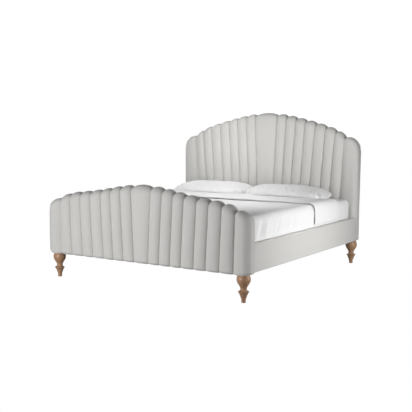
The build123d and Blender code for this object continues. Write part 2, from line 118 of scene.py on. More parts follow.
class Tree:
    """A node tree that is written one node at a time."""

    def __init__(self, tree: bpy.types.NodeTree) -> None:
        """Take a material's or the world's tree, and empty it."""
        self.nodes, self.links = tree.nodes, tree.links
        self.nodes.clear()

    def feed(self, socket: bpy.types.NodeSocket, value: Input) -> None:
        """Link a value to an input, or set it there.

        Args:
            socket: the input.
            value: a Value, an output, a number, a vector or a colour of three parts.
        """
        if isinstance(value, Value):
            value = value.socket
        if isinstance(value, bpy.types.NodeSocket):
            self.links.new(value, socket)
        elif socket.type == "RGBA":
            socket.default_value = (*value, 1.0)
        else:
            socket.default_value = value

    def node(self, kind: str, settings: dict | None = None, inputs: dict | None = None
             ) -> bpy.types.Node:
        """Add a node.

        Args:
            kind: the node's type.
            settings: attributes, which are set first.
            inputs: what feeds each socket, by its name or number.

        Returns:
            The new node.
        """
        made = self.nodes.new(kind)
        for key, value in (settings or {}).items():
            setattr(made, key, value)
        for key, value in (inputs or {}).items():
            self.feed(made.inputs[key], value)
        return made


class Shader(Tree):
    """One material's node tree, with a Principled shader at its end."""

    def __init__(self, name: str) -> None:
        """Make an empty node material of that name."""
        self.material = bpy.data.materials.new(name)
        self.material.use_nodes = True
        super().__init__(self.material.node_tree)
        self.surface = self.node("ShaderNodeBsdfPrincipled")
        self.end = self.node("ShaderNodeOutputMaterial", {}, {0: self.surface.outputs[0]})

    def place(self) -> bpy.types.NodeSocket:
        """Return the point on the object, in metres."""
        return self.node("ShaderNodeTexCoord").outputs["Object"]

    def axes(self) -> tuple[Value, Value, Value]:
        """Return the point's x, y and z, in metres."""
        split = self.node("ShaderNodeSeparateXYZ", {}, {0: self.place()})
        return tuple(Value(self, out) for out in split.outputs)

    def noise(self, scale: float, detail: float, stretch: Point3 = (1.0, 1.0, 1.0),
              rough: float = 0.5) -> Value:
        """Return a noise from 0 to 1.

        Args:
            scale: features per metre.
            detail: octaves.
            stretch: how much finer it is along each axis.
            rough: how strong the fine octaves are.

        Returns:
            The noise.
        """
        moved = self.node("ShaderNodeMapping", {}, {"Vector": self.place(), "Scale": stretch})
        made = self.node("ShaderNodeTexNoise", {"noise_dimensions": "3D"},
                         {"Vector": moved.outputs[0], "Scale": scale, "Detail": detail,
                          "Roughness": rough})
        return Value(self, made.outputs[0])

    def mix(self, factor: Value, first: Colour, second: Colour) -> bpy.types.NodeSocket:
        """Return a blend from the first colour to the second."""
        made = self.node("ShaderNodeMix", {"data_type": "RGBA"}, {0: factor, 6: first, 7: second})
        return made.outputs[2]

    def bump(self, height: Value, distance: float) -> None:
        """Raise the surface by height times distance, in metres."""
        made = self.node("ShaderNodeBump", {}, {"Height": height, "Distance": distance})
        self.feed(self.surface.inputs["Normal"], made.outputs[0])

    def set(self, **values: Input) -> None:
        """Feed the shader's own sockets; an underscore stands for a space."""
        for key, value in values.items():
            self.feed(self.surface.inputs[key.replace("_", " ")], value)


@dataclass(frozen=True)
class Cloth:
    """A woven cloth: its colours, its thread and how it catches light."""

    name: str
    light: Colour
    dark: Colour
    thread: float = 0.0011
    relief: float = 0.00012
    sheen: float = 0.25
    rough: float = 0.9
    slubs: float = 180.0
    clouds: float = 5.0

    def material(self) -> bpy.types.Material:
        """Return the cloth's material: warp and weft, slubs, and a soft cloudiness."""
        shader = Shader(self.name)
        x, y, z = shader.axes()
        turns = math.tau / self.thread
        warp = ((x + y) * turns).sine()
        weft = ((z + (x - y) * 0.5) * turns).sine()
        weave = warp * weft * 0.5 + 0.5
        slub = shader.noise(self.slubs, 2.0, (1.0, 1.0, 0.12))
        cloud = shader.noise(self.clouds, 4.0)
        tone = (cloud * 0.55 + slub * 0.3 + weave * 0.15).held()
        shader.set(Base_Color=shader.mix(tone, self.dark, self.light),
                   Roughness=self.rough, Sheen_Weight=self.sheen, Sheen_Roughness=0.45,
                   Specular_IOR_Level=0.25)
        shader.bump(weave * 0.6 + slub * 0.8, self.relief)
        return shader.material


@dataclass(frozen=True)
class Timber:
    """A wood: its two colours, the length of its grain and how it is finished."""

    name: str
    pale: Colour
    deep: Colour
    rough: float = 0.45
    coat: float = 0.0
    along: Point3 = (1.0, 1.0, 0.08)
    figure: float = 26.0
    pores: float = 420.0
    relief: float = 0.00025

    def material(self) -> bpy.types.Material:
        """Return the wood's material: long figure, fine pores and an even finish."""
        shader = Shader(self.name)
        figure = shader.noise(self.figure, 5.0, self.along, 0.6)
        pores = shader.noise(self.pores, 3.0, self.along, 0.7)
        streak = (figure * 0.8 + pores * 0.35 - 0.08).held()
        shader.set(Base_Color=shader.mix(streak, self.deep, self.pale),
                   Roughness=pores * 0.25 + self.rough - 0.1, Coat_Weight=self.coat,
                   Coat_Roughness=0.3)
        shader.bump(pores * 0.7 + figure * 0.3, self.relief)
        return shader.material


@dataclass(frozen=True)
class Hardware:
    """A plated or moulded finish for the pieces inside the bed."""

    name: str
    colour: Colour
    metallic: float
    rough: float
    shade: float = 0.72
    relief: float = 0.00005

    def material(self) -> bpy.types.Material:
        """Return the finish, with faint blotches and handling marks."""
        shader = Shader(self.name)
        blotch = shader.noise(40.0, 4.0)
        marks = shader.noise(700.0, 2.0)
        darker = tuple(self.shade * part for part in self.colour)
        shader.set(Base_Color=shader.mix(blotch, darker, self.colour),
                   Metallic=self.metallic, Roughness=blotch * 0.2 + self.rough - 0.08)
        shader.bump(marks, self.relief)
        return shader.material


def cotton(name: str, light: float = 0.78, dark: float = 0.745) -> Cloth:
    """Return a fine white cotton between two greys."""
    return Cloth(name, (light,) * 3, (dark,) * 3, thread=0.0007, relief=0.00005, sheen=0.15)


class Finish(Enum):
    """Every finish on the bed, by the record's material slot."""

    UPHOLSTERY = Cloth("grey_upholstery", (0.655, 0.648, 0.63), (0.60, 0.593, 0.575))
    TURNED_WOOD = Timber("oiled_oak", (0.57, 0.345, 0.205), (0.30, 0.158, 0.082), coat=0.25)
    FRAME_TIMBER = Timber("bare_pine", (0.66, 0.49, 0.30), (0.46, 0.30, 0.16), rough=0.7)
    STEEL = Hardware("zinc_plate", (0.62, 0.62, 0.60), 1.0, 0.42)
    PLASTIC = Hardware("black_plastic", (0.035, 0.035, 0.035), 0.0, 0.5)
    MATTRESS_TICKING = Cloth("ticking", (0.84, 0.83, 0.80), (0.76, 0.75, 0.72), thread=0.0016)
    SHEET_COTTON = cotton("sheet_cotton")
    DUVET_COTTON = cotton("duvet_cotton", 0.745, 0.71)
    PILLOW_COTTON = cotton("pillow_cotton")

    @property
    def slot(self) -> str:
        """The record's slot that this finish answers."""
        return self.name.lower()

    def made(self) -> bpy.types.Material:
        """Return the finish's material, built once."""
        found = bpy.data.materials.get(self.value.name)
        return found or self.value.material()


# --- mesh making ----------------------------------------------------------------------

class Skin:
    """A mesh gathered from grids of points and welded where they meet."""

    def __init__(self) -> None:
        """Start with no points."""
        self.points: list[Line] = []
        self.faces: list[tuple[int, ...]] = []
        self.count = 0

    def grid(self, points: Grid, flip: bool = False, closed: bool = False) -> None:
        """Add a grid of quads.

        Args:
            points: the places; the normal is columns crossed with rows.
            flip: turn the faces over.
            closed: join the last column to the first.
        """
        rows, columns = points.shape[:2]
        across = columns if closed else columns - 1
        for i in range(rows - 1):
            row = self.count + i * columns
            for j in range(across):
                k = (j + 1) % columns
                quad = (row + j, row + k, row + columns + k, row + columns + j)
                self.faces.append(quad[::-1] if flip else quad)
        self.points.append(points.reshape(-1, 3))
        self.count += rows * columns

    def fan(self, ring: Line) -> None:
        """Close a ring of points with one flat face."""
        self.faces.append(tuple(range(self.count, self.count + len(ring))))
        self.points.append(ring)
        self.count += len(ring)

    def build(self, name: str, finish: Finish, body: str) -> bpy.types.Object:
        """Make the object.

        Args:
            name: the piece's name.
            finish: its finish.
            body: the body that it rides on.

        Returns:
            The new object, smooth shaded, in its finish and riding on its body.
        """
        mesh = bpy.data.meshes.new(name)
        mesh.from_pydata(np.concatenate(self.points).tolist(), [], self.faces)
        shape = bmesh.new()
        shape.from_mesh(mesh)
        bmesh.ops.remove_doubles(shape, verts=shape.verts, dist=WELD)
        shape.to_mesh(mesh)
        shape.free()
        mesh.shade_smooth()
        mesh.materials.append(finish.made())
        piece = bpy.data.objects.new(name, mesh)
        bpy.context.scene.collection.objects.link(piece)
        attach(piece, body)
        return piece


def report(piece: bpy.types.Object) -> None:
    """Log a piece's name and the number of its faces."""
    LOG.info("%s: %d faces", piece.name, len(piece.data.polygons))


def apply_modifiers(piece: bpy.types.Object) -> None:
    """Make a piece's modified shape its own mesh.

    Args:
        piece: the piece, which has no modifiers afterwards.
    """
    graph = bpy.context.evaluated_depsgraph_get()
    graph.update()
    mesh = bpy.data.meshes.new_from_object(piece.evaluated_get(graph))
    piece.modifiers.clear()
    old = piece.data
    piece.data = mesh
    bpy.data.meshes.remove(old)
    mesh.name = piece.name


def thicken(piece: bpy.types.Object, thickness: float) -> None:
    """Give an open skin its cloth's thickness, inwards.

    Args:
        piece: the skin.
        thickness: how thick the cloth is.
    """
    modifier = piece.modifiers.new("cloth", "SOLIDIFY")
    modifier.thickness = thickness
    modifier.offset = -1.0
    modifier.use_even_offset = False
    apply_modifiers(piece)


def ruffle(piece: bpy.types.Object, height: Height) -> None:
    """Move each point of a piece along its normal.

    Args:
        piece: the piece.
        height: how far a point moves, from its place and its normal.
    """
    mesh = piece.data
    normals = [v.normal.copy() for v in mesh.vertices]
    for vertex, normal in zip(mesh.vertices, normals):
        vertex.co += normal * height(vertex.co, normal)
    mesh.update()


def upholster(piece: bpy.types.Object, slack: Height, node: str) -> None:
    """Finish a padded cover.

    Args:
        piece: the cover, still an open skin.
        slack: the height of its cloth's unevenness, from a place and its normal.
        node: the made piece that it stands for.
    """
    ruffle(piece, slack)
    thicken(piece, COVER_CLOTH)
    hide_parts(node)
    report(piece)


def filled(size: Point2, share: np.ndarray) -> np.ndarray:
    """Return a size that grows from its first number by its second as a share grows to 1."""
    return size[0] + size[1] * share


def held(value: float) -> float:
    """Return the value held between 0 and 1."""
    return max(0.0, min(1.0, value))


def lumps(x: float, y: float, z: float) -> float:
    """Return a smooth noise, from about -1 to 1, at a place."""
    return noise.noise(Vector((x, y, z)))


def bell(offset: float, width: float) -> float:
    """Return a bell curve, 1 at no offset."""
    return math.exp(-(offset / width) ** 2)


def eased(count: int) -> Line:
    """Return count + 1 places from 0 to 1, closer together at both ends."""
    return 0.5 - 0.5 * np.cos(np.pi * np.arange(count + 1) / count)


def quarter(corner: Point2, radii: Point2, degrees: Iterable[float]) -> list[Point2]:
    """A quarter round in place of a sharp corner.

    Args:
        corner: the sharp corner's place.
        radii: the round's reach along both axes, back from the corner.
        degrees: where its points lie, from 0 at the corner's side to 90 at its top.

    Returns:
        A place for each of the angles.
    """
    return [(corner[0] - radii[0] * (1 - math.cos(angle)),
             corner[1] - radii[1] * (1 - math.sin(angle)))
            for angle in map(math.radians, degrees)]


def resample(line: Line, places: np.ndarray) -> Line:
    """Find places along a line.

    Args:
        line: the line's points.
        places: shares of the line's length.

    Returns:
        A point for each share.
    """
    steps = np.linalg.norm(np.diff(line, axis=0), axis=1)
    along = np.concatenate([[0], np.cumsum(steps)])
    along /= along[-1]
    return np.stack([np.interp(places, along, line[:, k]) for k in range(line.shape[1])], axis=1)


def smooth_line(points: Sequence[Point2], count: int = 160) -> Line:
    """A smooth line through points, evenly spaced.

    Args:
        points: the places that it passes through.
        count: how many points it gets.

    Returns:
        count by two places.
    """
    p = np.array(points, float)
    p = np.vstack([2 * p[0] - p[1], p, 2 * p[-1] - p[-2]])
    t = np.linspace(0, 1, 24, endpoint=False)[:, None]
    runs = []
    for a, b, c, d in zip(p, p[1:], p[2:], p[3:]):
        runs.append(0.5 * (2 * b + (c - a) * t + (2 * a - 5 * b + 4 * c - d) * t ** 2
                           + (3 * b - a - 3 * c + d) * t ** 3))
    runs.append(p[-2][None])
    return resample(np.concatenate(runs), np.linspace(0, 1, count))


def distance_to(line: Line, points: np.ndarray) -> np.ndarray:
    """Measure how far points are from a line of short segments, in the same plane.

    Args:
        line: the line's points.
        points: places, two numbers each.

    Returns:
        A distance for each place.
    """
    a, b = line[:-1], line[1:]
    run = b - a
    flat = points.reshape(-1, 1, 2)
    share = ((flat - a) * run).sum(-1) / (run ** 2).sum(-1)
    near = a + np.clip(share, 0, 1)[..., None] * run
    return np.linalg.norm(flat - near, axis=-1).min(1).reshape(points.shape[:-1])


def roll(distance: np.ndarray | float, radius: np.ndarray | float) -> np.ndarray | float:
    """Return how far a quarter-round edge falls back at a distance from the edge."""
    inside = np.clip(1 - distance / radius, 0, 1)
    return radius * (1 - np.sqrt(1 - inside ** 2))


def patch(left: Line, right: Line, bottom: Line, top: Line) -> np.ndarray:
    """Fill the space between four lines.

    Args:
        left: rows by two, from the bottom up.
        right: rows by two, from the bottom up.
        bottom: columns by two, from left to right.
        top: columns by two, from left to right.

    Returns:
        rows by columns by two places.
    """
    v = eased(len(left) - 1)[:, None, None]
    u = eased(len(bottom) - 1)[None, :, None]
    ruled = (1 - u) * left[:, None] + u * right[:, None]
    crossed = (1 - v) * bottom[None] + v * top[None]
    corners = ((1 - u) * (1 - v) * left[0] + u * (1 - v) * right[0]
               + (1 - u) * v * left[-1] + u * v * right[-1])
    return ruled + crossed - corners


# --- upholstered boards ---------------------------------------------------------------

@dataclass(frozen=True)
class Board:
    """One channelled board: its places come from its nodes, its seams from its makers.

    A pair named for a round, a depth or a droop is its size at a seam, and what a full
    channel adds to it.
    """

    name: str
    lower_seams: tuple[float, ...]
    upper_seams: tuple[float, ...]
    arch: tuple[Point2, ...]
    corner: tuple[Point2, ...]
    bulge: float
    crown: float
    edge_radius: float = 0.026
    trim: float = 0.0
    valley: float = 0.030
    seam_depth: float = 0.003
    droop: Point2 = (0.001, 0.009)
    foot_round: Point2 = (0.012, 0.018)
    top_round: Point2 = (0.030, 0.038)
    top_depth: Point2 = (0.040, 0.030)
    end_foot_round: Point2 = (0.014, 0.010)
    end_side_round: float = 0.024
    low_corner: float = 0.022
    sag: tuple[Point2, ...] = ((0.012, 0.0035), (0.035, 0.0065), (0.07, 0.007), (0.095, 0.005))
    shoulder_share: float = 0.62
    end_fill: float = 0.075
    hem: float = 0.03
    back_inset: float = 0.002
    back_drop: float = 0.006
    back_nook: float = 0.018
    back_roll: float = 0.020
    slack: float = 0.0011
    fine_slack: float = 0.00035
    columns: int = 22
    face_rows: int = 44

    def box(self, part: str) -> tuple[Vector, Vector]:
        """Return the lowest and highest corners of one of the board's made pieces."""
        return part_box(f"{self.name}_{part}")

    @property
    def underside(self) -> float:
        """The height of the board's lower edge, just below its timber."""
        return self.box("bottom_rail")[0].z - LAP

    @property
    def seam_plane(self) -> float:
        """Where the seams lie, a little in front of the panel."""
        return self.box("panel")[0].y - self.seam_depth

    @property
    def cover_back(self) -> float:
        """Where the channels end and the back cover starts."""
        return self.box("back_cover")[0].y

    @property
    def rear(self) -> float:
        """The board's rear face."""
        return self.box("back_cover")[1].y

    @property
    def half_width(self) -> float:
        """Half the board's width."""
        return self.box("right_end_channel")[1].x - self.trim

    def top(self, x: np.ndarray | float) -> np.ndarray | float:
        """Find the height of the seams' ends: an even curve through the arch.

        Args:
            x: places across the board.

        Returns:
            A height for each place.
        """
        height = 0.0
        for place, level in self.arch:
            weight = 1.0
            for other, _ in self.arch:
                if other != place:
                    weight = weight * (x * x - other * other) / (place ** 2 - other ** 2)
            height = height + weight * level
        return height

    @staticmethod
    def puff(across: np.ndarray) -> np.ndarray:
        """Return how full a channel is, from 0 at its seams to 1 along its middle."""
        side = np.abs(2 * across - 1)
        return np.clip(1 - side ** 2.1, 0, 1) ** 0.54

    def fullness(self, rise: np.ndarray | float) -> np.ndarray | float:
        """Return how much of the bulge a channel has at a share of its height."""
        return 0.80 + 0.20 * np.sin(np.pi * np.clip(0.12 + 0.80 * rise, 0, 1))

    def channel(self, left: Point2, right: Point2) -> Grid:
        """The surface of one channel, from under the board, over its front and top.

        Args:
            left: the lower and upper place of its left seam.
            right: the same for its right seam.

        Returns:
            Rows along the channel by columns across it.
        """
        across = eased(self.columns)
        puff = self.puff(across)
        x_top = left[1] + (right[1] - left[1]) * across
        z_top = self.top(x_top) + self.crown - self.valley * (1 - puff)
        z_low = self.underside - filled(self.droop, puff)
        foot_radius, top_radius = filled(self.foot_round, puff), filled(self.top_round, puff)
        top_depth = filled(self.top_depth, puff)
        plane, back = self.seam_plane, self.cover_back
        rows: list[Line] = []

        def seams(z: np.ndarray) -> np.ndarray:
            """Find the places across the channel.

            Args:
                z: a height for each place.

            Returns:
                x for each place.
            """
            share = z - self.underside
            low, high = (a + (b - a) * share / (self.top(b) - self.underside)
                         for a, b in (left, right))
            return low + (high - low) * across

        def row(x: np.ndarray, y: np.ndarray, z: np.ndarray) -> None:
            """Add a row of points across the channel."""
            rows.append(np.stack([x, y, z], 1))

        for step in np.linspace(0, 1, 6):
            row(seams(z_low), back + (plane + foot_radius - back) * step, z_low)
        low_bulge = self.bulge * self.fullness(0.0) * puff
        for angle in np.radians(np.arange(15, 90, 15)):
            z = z_low + foot_radius * (1 - math.cos(angle))
            row(seams(z), plane + foot_radius - (foot_radius + low_bulge) * math.sin(angle), z)
        front_low, front_high = z_low + foot_radius, z_top - top_radius
        for step in np.linspace(0, 1, self.face_rows):
            z = front_low + (front_high - front_low) * step
            row(seams(z), plane - self.bulge * self.fullness(step) * puff, z)
        face = rows[-1][:, 1]
        for angle in np.radians(np.arange(8, 91, 8.2)):
            z = front_high + top_radius * math.sin(angle)
            row(seams(z), face + top_depth * (1 - math.cos(angle)), z)
        x_end, crest = rows[-1][:, 0], rows[-1][:, 1]
        for step in np.linspace(0.15, 1, 7):
            row(x_end, crest + (back - BACK_ROUND - crest) * step, z_top)
        for angle in np.radians(np.arange(18, 91, 18)):
            y = np.full_like(puff, back - BACK_ROUND * (1 - math.sin(angle)))
            row(x_end, y, z_top - BACK_ROUND * (1 - math.cos(angle)))
        row(x_end, rows[-1][:, 1], z_top - self.hem)
        return np.stack(rows)

    def end_lines(self) -> tuple[Line, Line, Line, Line]:
        """Return the seam, side, lower and upper lines of the right end channel."""
        low, high = self.lower_seams[-1], self.upper_seams[-1]
        z_low, half = self.underside - self.droop[0], self.half_width
        start = self.top(high) + self.crown - self.valley
        seam = np.array([(low, z_low), (high, start)])
        turn = quarter((half, z_low), (self.low_corner, -self.low_corner), range(90, -1, -15))
        sag = [(low + reach, z_low - fall) for reach, fall in self.sag]
        bottom = np.array([(low, z_low), *sag, *turn[:4]])
        shoulder = smooth_line([(high, start), *self.corner])
        split = int(self.shoulder_share * len(shoulder))
        side = np.array([*turn[3:], *shoulder[:split - 1:-1]])
        return seam, side, bottom, shoulder[:split + 1]

    def end_front(self) -> Grid:
        """Return the face of the right end channel, with its outer edges rolled back."""
        seam, edge, bottom, top = self.end_lines()
        rows, columns = eased(64), eased(30)
        places = patch(resample(seam, rows), resample(edge, rows),
                       resample(bottom, columns), resample(top, columns))
        x, z = places[..., 0], places[..., 1]
        climb = (z - seam[0, 1]) / (seam[1, 1] - seam[0, 1])
        seam_x = seam[0, 0] + (seam[1, 0] - seam[0, 0]) * climb
        full = 1 - (1 - np.clip((x - seam_x) / self.end_fill, 0, 1)) ** 2.6
        rise = (z - self.underside) / (self.corner[-1][1] - self.underside)
        sides = np.concatenate([edge, top[::-1][1:]])
        y = (self.seam_plane - self.bulge * self.fullness(rise) * full
             + roll(distance_to(sides, places), self.end_side_round + self.edge_radius * full)
             + roll(distance_to(bottom, places), filled(self.end_foot_round, full)))
        return np.stack([x, y, z], axis=-1)

    def end_band(self, front: Grid) -> Grid:
        """Join the end channel's face to the board's back.

        Args:
            front: the face.

        Returns:
            Rows from behind the board to the rim of the face.
        """
        rim = np.concatenate([front[0], front[1:, -1], front[-1, ::-1][1:]])
        middle = np.array([self.half_width - 0.25, (self.underside + self.corner[-1][1]) / 2])
        inward = middle - rim[:, [0, 2]]
        inward /= np.linalg.norm(inward, axis=1)[:, None]
        back = self.cover_back

        def row(amount: float, y: np.ndarray | float) -> Line:
            """Move the rim.

            Args:
                amount: how far it moves inwards.
                y: where it is set.

            Returns:
                The moved rim.
            """
            moved = rim.copy()
            moved[:, [0, 2]] += inward * amount
            moved[:, 1] = y
            return moved

        rows = [row(self.hem, back)]
        rows += [row(BACK_ROUND * (1 - math.sin(a)), back - BACK_ROUND * (1 - math.cos(a)))
                 for a in np.radians(np.arange(0, 91, 18))]
        rows += [row(0.0, (back - BACK_ROUND) * (1 - step) + rim[:, 1] * step)
                 for step in np.linspace(0.2, 1, 6)]
        return np.stack(rows)

    def cover(self, skin: Skin, name: str, node: str) -> None:
        """Make one cover of the board, with its hand-sewn unevenness.

        Args:
            skin: its surface.
            name: its name, after the board's.
            node: the name of the made piece that it stands for, after the board's.
        """
        node = f"{self.name}_{node}"
        seed = 3.1 * len(node)

        def uneven(point: Vector, normal: Vector) -> float:
            """Work out the cloth's slack at a point.

            Args:
                point: a place on the piece.
                normal: the piece's normal there.

            Returns:
                A height, in metres.
            """
            broad = lumps(point.x * 7, point.y * 7, point.z * 3.0 + seed)
            fine = lumps(point.x * 34, point.y * 34, point.z * 15 + seed)
            return self.slack * broad + self.fine_slack * fine

        upholster(skin.build(f"{self.name}_{name}", Finish.UPHOLSTERY, "frame"), uneven, node)

    def channels(self, pairs: Sequence[tuple[Point2, Point2]], word: str) -> None:
        """Make a run of channels as one cover, sewn down along its seams.

        Args:
            pairs: the left and right seam of each channel.
            word: the run's name.
        """
        skin = Skin()
        for left, right in pairs:
            skin.grid(self.channel(left, right))
        self.cover(skin, f"{word}_cover", word)

    def end_channel(self, side: int) -> None:
        """Make the wide end channel that turns the corner and covers the board's edge.

        Args:
            side: 1 for the right end, -1 for the left.
        """
        skin = Skin()
        front = self.end_front()
        for part in (front, self.end_band(front)):
            skin.grid(part * [side, 1, 1], flip=side < 0)
        word = "right" if side > 0 else "left"
        self.cover(skin, f"{word}_end_cover", f"{word}_end_channel")

    def back(self) -> None:
        """Make the plain padded back cover, with a rolled edge."""
        last = self.upper_seams[-1]
        line = smooth_line([(last, self.top(last)), *self.corner])
        half = self.half_width - self.back_inset
        x = half * np.sin(np.linspace(-math.pi / 2, math.pi / 2, 121))
        shoulder = np.interp(np.abs(x), line[:, 0], line[:, 1])
        z_top = np.where(np.abs(x) < last, self.top(x), shoulder) - self.back_drop
        z_top[[0, -1]] = self.corner[-1][1] - self.hem
        nook = np.clip((np.abs(x) - half + self.back_nook) / self.back_nook, 0, 1)
        z_low = self.underside + self.back_inset + self.back_nook * (1 - np.sqrt(1 - nook ** 2))
        z = z_low + (z_top - z_low) * eased(60)[:, None]
        wide = np.broadcast_to(x, z.shape)
        edge = np.concatenate([np.stack([x, z_low], 1), np.stack([x, z_top], 1)[::-1],
                               np.array([(x[0], z_low[0])])])
        depth = roll(distance_to(edge, np.stack([wide, z], axis=-1)), self.back_roll)
        rear = np.stack([wide, self.rear - depth, z], axis=-1)
        rim = np.concatenate([rear[0], rear[1:, -1], rear[-1, ::-1][1:], rear[-2::-1, 0]])
        front = rim.copy()
        front[:, 1] = self.cover_back - 0.004
        skin = Skin()
        skin.grid(rear, flip=True)
        skin.grid(np.stack([rim, (rim + front) / 2, front]))
        self.cover(skin, "back_upholstery", "back_cover")

    def build(self) -> None:
        """Make every cover of the board."""
        seams = list(zip(self.lower_seams, self.upper_seams))
        right = list(zip(seams, seams[1:]))
        left = [((-b[0], -b[1]), (-a[0], -a[1])) for a, b in reversed(right)]
        first = seams[0]
        self.channels([((-first[0], -first[1]), first)], "centre_channel")
        self.channels(left, "left_channels")
        self.channels(right, "right_channels")
        self.end_channel(-1)
        self.end_channel(1)
        self.back()


# --- side rails -----------------------------------------------------------------------

@dataclass(frozen=True)
class RailCover:
    """The padded cover of one side rail."""

    side: int
    corner: float = 0.012
    swell: float = 0.004
    tuck: float = 0.02
    foot_lap: float = 0.004
    head_lap: float = 0.02
    slack: float = 0.0012
    fine_slack: float = 0.0003

    def section(self, inner: float, outer: float, z_low: float, z_high: float) -> Line:
        """The line of the cover round the rail, from its lower inner edge to its upper one.

        Args:
            inner: x of the rail's inner face.
            outer: x of its outer face.
            z_low: the height of its underside.
            z_high: the height of its top.

        Returns:
            Places in x and z.
        """
        r = self.corner
        run, rise = outer - r - inner, z_high - z_low - 2 * r
        under = [(inner + run * s, z_low) for s in (0.3, 0.6, 1.0)]
        face = [(outer + self.swell * math.sin(math.pi * s), z_low + r + rise * s)
                for s in np.linspace(0.05, 0.95, 19)]
        top = [(inner + run * s, z_high) for s in (0.7, 0.4, 0.12)]
        return np.array([(inner, z_low + self.tuck * 0.2), (inner, z_low), *under,
                         *quarter((outer, z_low), (r, -r), range(75, -1, -15)), *face,
                         *quarter((outer, z_high), (r, r), range(0, 91, 15)), *top,
                         (inner, z_high - 0.004), (inner, z_high - self.tuck)])

    def build(self) -> None:
        """Make the cover, wrapped over the rail's top, outer face and underside."""
        word = "right" if self.side > 0 else "left"
        low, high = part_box(f"{word}_rail_cover")
        inner, outer = sorted((abs(low.x), abs(high.x)))
        section = self.section(inner, outer, low.z - LAP, high.z)
        along = np.linspace(low.y - self.foot_lap, high.y + self.head_lap, 150)
        points = np.empty((len(section), len(along), 3))
        points[..., 0] = section[:, :1] * self.side
        points[..., 1] = along
        points[..., 2] = section[:, 1:]
        skin = Skin()
        skin.grid(points, flip=self.side < 0)
        piece = skin.build(f"{word}_rail_upholstery", Finish.UPHOLSTERY, "frame")

        def uneven(point: Vector, normal: Vector) -> float:
            """Work out the gentle unevenness of a long pulled cover.

            Args:
                point: a place on the piece.
                normal: the piece's normal there.

            Returns:
                A height, in metres.
            """
            broad = lumps(0.3, point.y * 3.2, point.z * 7 + self.side)
            fine = lumps(4.0, point.y * 21, point.z * 24 + self.side)
            return (self.slack * broad + self.fine_slack * fine) * abs(normal.x)

        upholster(piece, uneven, f"{word}_rail_cover")


# --- turned feet ----------------------------------------------------------------------

@dataclass(frozen=True)
class TurnedFoot:
    """A foot turned between centres, as radii and heights: tip and cone, collar, bulb."""

    node: str
    cone: tuple[Point2, ...] = ((0.0150, 0.0), (0.0168, 0.0012), (0.0174, 0.004), (0.0186, 0.028),
                                (0.0240, 0.044), (0.0292, 0.059), (0.0385, 0.079))
    collar: tuple[Point2, ...] = ((0.0385, 0.079), (0.0393, 0.0795), (0.0416, 0.0821),
                                  (0.0438, 0.0846), (0.0446, 0.0865), (0.0440, 0.0880),
                                  (0.0380, 0.0922), (0.0305, 0.0965))
    bulb: tuple[Point2, ...] = ((0.0305, 0.0965), (0.0272, 0.1010), (0.0257, 0.1080),
                                (0.0262, 0.1150), (0.0310, 0.1290), (0.0376, 0.1390),
                                (0.0497, 0.1590), (0.0549, 0.1740), (0.0560, 0.1880),
                                (0.0541, 0.2000), (0.0495, 0.2120), (0.0450, 0.2230))
    sides: int = 96

    def build(self) -> None:
        """Turn the foot where its node stands."""
        low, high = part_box(self.node)
        centre = (low + high) / 2
        profile = np.concatenate([smooth_line(self.cone, 40), smooth_line(self.collar, 24)[1:],
                                  smooth_line(self.bulb, 60)[1:]])
        angles = np.linspace(0, math.tau, self.sides, endpoint=False)
        points = np.empty((len(profile), self.sides, 3))
        points[..., 0] = centre.x + profile[:, :1] * np.cos(angles)
        points[..., 1] = centre.y + profile[:, :1] * np.sin(angles)
        points[..., 2] = low.z + profile[:, 1:]
        skin = Skin()
        skin.grid(points, closed=True)
        skin.fan(points[0][::-1])
        skin.fan(points[-1])
        piece = skin.build(f"{self.node}_turned", Finish.TURNED_WOOD, "frame")
        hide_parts(self.node)
        report(piece)


# --- mattress and bedding -------------------------------------------------------------

def rounded_box(low: Vector, high: Vector, radius: Point3, cuts: tuple[int, int, int]) -> Skin:
    """A box with round edges, as a welded grid.

    Args:
        low: its lowest corner.
        high: its highest corner.
        radius: the round in X, Y and Z.
        cuts: how many squares each way.

    Returns:
        The skin, not built yet.
    """
    lo, hi, r = np.array(low), np.array(high), np.array(Vector(radius))
    skin = Skin()
    for axis in range(3):
        first, second = [k for k in range(3) if k != axis]
        a, b = (lo[k] + (hi[k] - lo[k]) * eased(cuts[k]) for k in (first, second))
        for end, value in enumerate((lo[axis], hi[axis])):
            points = np.empty((len(a), len(b), 3))
            points[..., first], points[..., second] = a[:, None], b[None]
            points[..., axis] = value
            inner = np.clip(points, lo + r, hi - r)
            away = (points - inner) / r
            long = np.linalg.norm(away, axis=-1, keepdims=True)
            big = np.abs(away).max(-1, keepdims=True)
            points = inner + away * r * (big / np.maximum(long, 1e-9))
            skin.grid(points, flip=(axis == 1) == (end == 0))
    return skin


